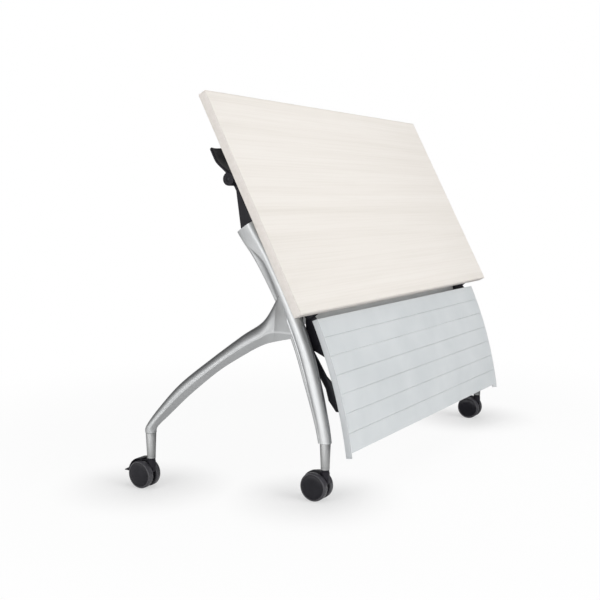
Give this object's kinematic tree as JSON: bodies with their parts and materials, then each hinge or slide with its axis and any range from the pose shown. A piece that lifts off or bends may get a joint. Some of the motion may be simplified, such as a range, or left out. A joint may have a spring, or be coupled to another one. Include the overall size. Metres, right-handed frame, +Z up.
{
  "type": "flip top training table",
  "caption": "Flip top training table on twin-wheel casters with a slatted modesty panel, release levers and arched cast legs, top flipped up for nesting.",
  "frame": {"origin": "on the floor under the flip axis, in the middle between the front and rear casters' stems and between the two leg frames", "axes": "+X along the table's length, -Y towards the modesty panel, +Y towards the user, +Z up"},
  "size_m": [1.358, 0.583, 1.0038],
  "materials": {
    "laminate": "pale laminate with a fine straight grain, satin",
    "edging": "smooth edge band",
    "casting": "satin silver coat on castings and the cross beam",
    "foot_tube": "satin tube",
    "panel_silver": "matt silver anodised extrusion",
    "steel": "bright pin steel",
    "dark_steel": "blackened pin steel",
    "black_plastic": "fine-textured black moulding",
    "wheel_black": "smooth black tread and disc"
  },
  "bodies": {
    "frame": {"column_left": "casting", "column_right": "casting", "rear_leg_left": "casting", "rear_leg_right": "casting", "foot_front_left": "foot_tube", "foot_front_right": "foot_tube", "foot_rear_left": "foot_tube", "foot_rear_right": "foot_tube", "pivot_pin_left": "steel", "pivot_pin_right": "steel", "beam_flange_left": "black_plastic", "beam_flange_right": "black_plastic", "cross_beam": "casting", "caster_front_left_stem": "steel", "caster_front_right_stem": "steel", "caster_rear_left_stem": "steel", "caster_rear_right_stem": "steel"},
    "top": {"worktop": "laminate", "edge_band": "edging", "hinge_arm_left": "black_plastic", "hinge_arm_right": "black_plastic", "lever_pin_left": "dark_steel", "lever_pin_right": "dark_steel", "panel_hinge_left": "black_plastic", "panel_hinge_right": "black_plastic", "panel_pin_left": "dark_steel", "panel_pin_right": "dark_steel"},
    "lever_left": {"release_lever_left": "black_plastic"},
    "lever_right": {"release_lever_right": "black_plastic"},
    "panel": {"panel_slat_1": "panel_silver", "panel_slat_2": "panel_silver", "panel_slat_3": "panel_silver", "panel_slat_4": "panel_silver", "panel_slat_5": "panel_silver", "panel_slat_6": "panel_silver", "panel_slat_7": "panel_silver", "panel_cap_left": "panel_silver", "panel_cap_right": "panel_silver", "panel_brace_left": "black_plastic", "panel_brace_right": "black_plastic"},
    "caster_front_left": {"caster_front_left_hood": "black_plastic", "caster_front_left_axle": "steel"},
    "caster_front_left_wheel_inner": {"caster_front_left_wheel_inner": "wheel_black"},
    "caster_front_left_wheel_outer": {"caster_front_left_wheel_outer": "wheel_black"},
    "caster_front_right": {"caster_front_right_hood": "black_plastic", "caster_front_right_axle": "steel"},
    "caster_front_right_wheel_inner": {"caster_front_right_wheel_inner": "wheel_black"},
    "caster_front_right_wheel_outer": {"caster_front_right_wheel_outer": "wheel_black"},
    "caster_rear_left": {"caster_rear_left_hood": "black_plastic", "caster_rear_left_axle": "steel"},
    "caster_rear_left_wheel_inner": {"caster_rear_left_wheel_inner": "wheel_black"},
    "caster_rear_left_wheel_outer": {"caster_rear_left_wheel_outer": "wheel_black"},
    "caster_rear_left_pedal": {"caster_rear_left_pedal": "black_plastic"},
    "caster_rear_right": {"caster_rear_right_hood": "black_plastic", "caster_rear_right_axle": "steel"},
    "caster_rear_right_wheel_inner": {"caster_rear_right_wheel_inner": "wheel_black"},
    "caster_rear_right_wheel_outer": {"caster_rear_right_wheel_outer": "wheel_black"},
    "caster_rear_right_pedal": {"caster_rear_right_pedal": "black_plastic"}
  },
  "joints": [
    {"name": "top_flip", "type": "hinge", "parent": "frame", "child": "top", "pos_m": [0, 0, 0.656], "axis": [-1, 0, 0], "range_deg": [0, 62.6]},
    {"name": "panel_swing", "type": "hinge", "parent": "top", "child": "panel", "pos_m": [0, -0.15323, 0.45384], "axis": [-1, 0, 0], "range_deg": [-79.1, 0]},
    {"name": "lever_pull_left", "type": "hinge", "parent": "top", "child": "lever_left", "pos_m": [-0.535, 0.04444, 0.78953], "axis": [1, 0, 0], "range_deg": [0, 15], "stiffness_Nm_per_rad": 0.6, "springref_deg": -11.46},
    {"name": "lever_pull_right", "type": "hinge", "parent": "top", "child": "lever_right", "pos_m": [0.535, 0.04444, 0.78953], "axis": [1, 0, 0], "range_deg": [0, 15], "stiffness_Nm_per_rad": 0.6, "springref_deg": -11.46},
    {"name": "caster_front_left_swivel", "type": "hinge", "parent": "frame", "child": "caster_front_left", "pos_m": [-0.512, -0.216, 0.08], "axis": [0, 0, 1], "continuous": true},
    {"name": "caster_front_left_wheel_inner_roll", "type": "hinge", "parent": "caster_front_left", "child": "caster_front_left_wheel_inner", "pos_m": [-0.512, -0.192, 0.036], "axis": [1, 0, 0], "continuous": true},
    {"name": "caster_front_left_wheel_outer_roll", "type": "hinge", "parent": "caster_front_left", "child": "caster_front_left_wheel_outer", "pos_m": [-0.512, -0.192, 0.036], "axis": [1, 0, 0], "continuous": true},
    {"name": "caster_front_right_swivel", "type": "hinge", "parent": "frame", "child": "caster_front_right", "pos_m": [0.512, -0.216, 0.08], "axis": [0, 0, 1], "continuous": true},
    {"name": "caster_front_right_wheel_inner_roll", "type": "hinge", "parent": "caster_front_right", "child": "caster_front_right_wheel_inner", "pos_m": [0.512, -0.192, 0.036], "axis": [1, 0, 0], "continuous": true},
    {"name": "caster_front_right_wheel_outer_roll", "type": "hinge", "parent": "caster_front_right", "child": "caster_front_right_wheel_outer", "pos_m": [0.512, -0.192, 0.036], "axis": [1, 0, 0], "continuous": true},
    {"name": "caster_rear_left_swivel", "type": "hinge", "parent": "frame", "child": "caster_rear_left", "pos_m": [-0.656, 0.216, 0.08], "axis": [0, 0, 1], "continuous": true},
    {"name": "caster_rear_left_wheel_inner_roll", "type": "hinge", "parent": "caster_rear_left", "child": "caster_rear_left_wheel_inner", "pos_m": [-0.656, 0.24, 0.036], "axis": [1, 0, 0], "continuous": true},
    {"name": "caster_rear_left_wheel_outer_roll", "type": "hinge", "parent": "caster_rear_left", "child": "caster_rear_left_wheel_outer", "pos_m": [-0.656, 0.24, 0.036], "axis": [1, 0, 0], "continuous": true},
    {"name": "caster_rear_left_pedal_press", "type": "hinge", "parent": "caster_rear_left", "child": "caster_rear_left_pedal", "pos_m": [-0.656, 0.24, 0.036], "axis": [-1, 0, 0], "range_deg": [0, 12]},
    {"name": "caster_rear_right_swivel", "type": "hinge", "parent": "frame", "child": "caster_rear_right", "pos_m": [0.656, 0.216, 0.08], "axis": [0, 0, 1], "continuous": true},
    {"name": "caster_rear_right_wheel_inner_roll", "type": "hinge", "parent": "caster_rear_right", "child": "caster_rear_right_wheel_inner", "pos_m": [0.656, 0.24, 0.036], "axis": [1, 0, 0], "continuous": true},
    {"name": "caster_rear_right_wheel_outer_roll", "type": "hinge", "parent": "caster_rear_right", "child": "caster_rear_right_wheel_outer", "pos_m": [0.656, 0.24, 0.036], "axis": [1, 0, 0], "continuous": true},
    {"name": "caster_rear_right_pedal_press", "type": "hinge", "parent": "caster_rear_right", "child": "caster_rear_right_pedal", "pos_m": [0.656, 0.24, 0.036], "axis": [-1, 0, 0], "range_deg": [0, 12]}
  ],
  "couplings": [
    {"joint": "panel_swing", "follows": "top_flip", "ratio": -1.262}
  ]
}
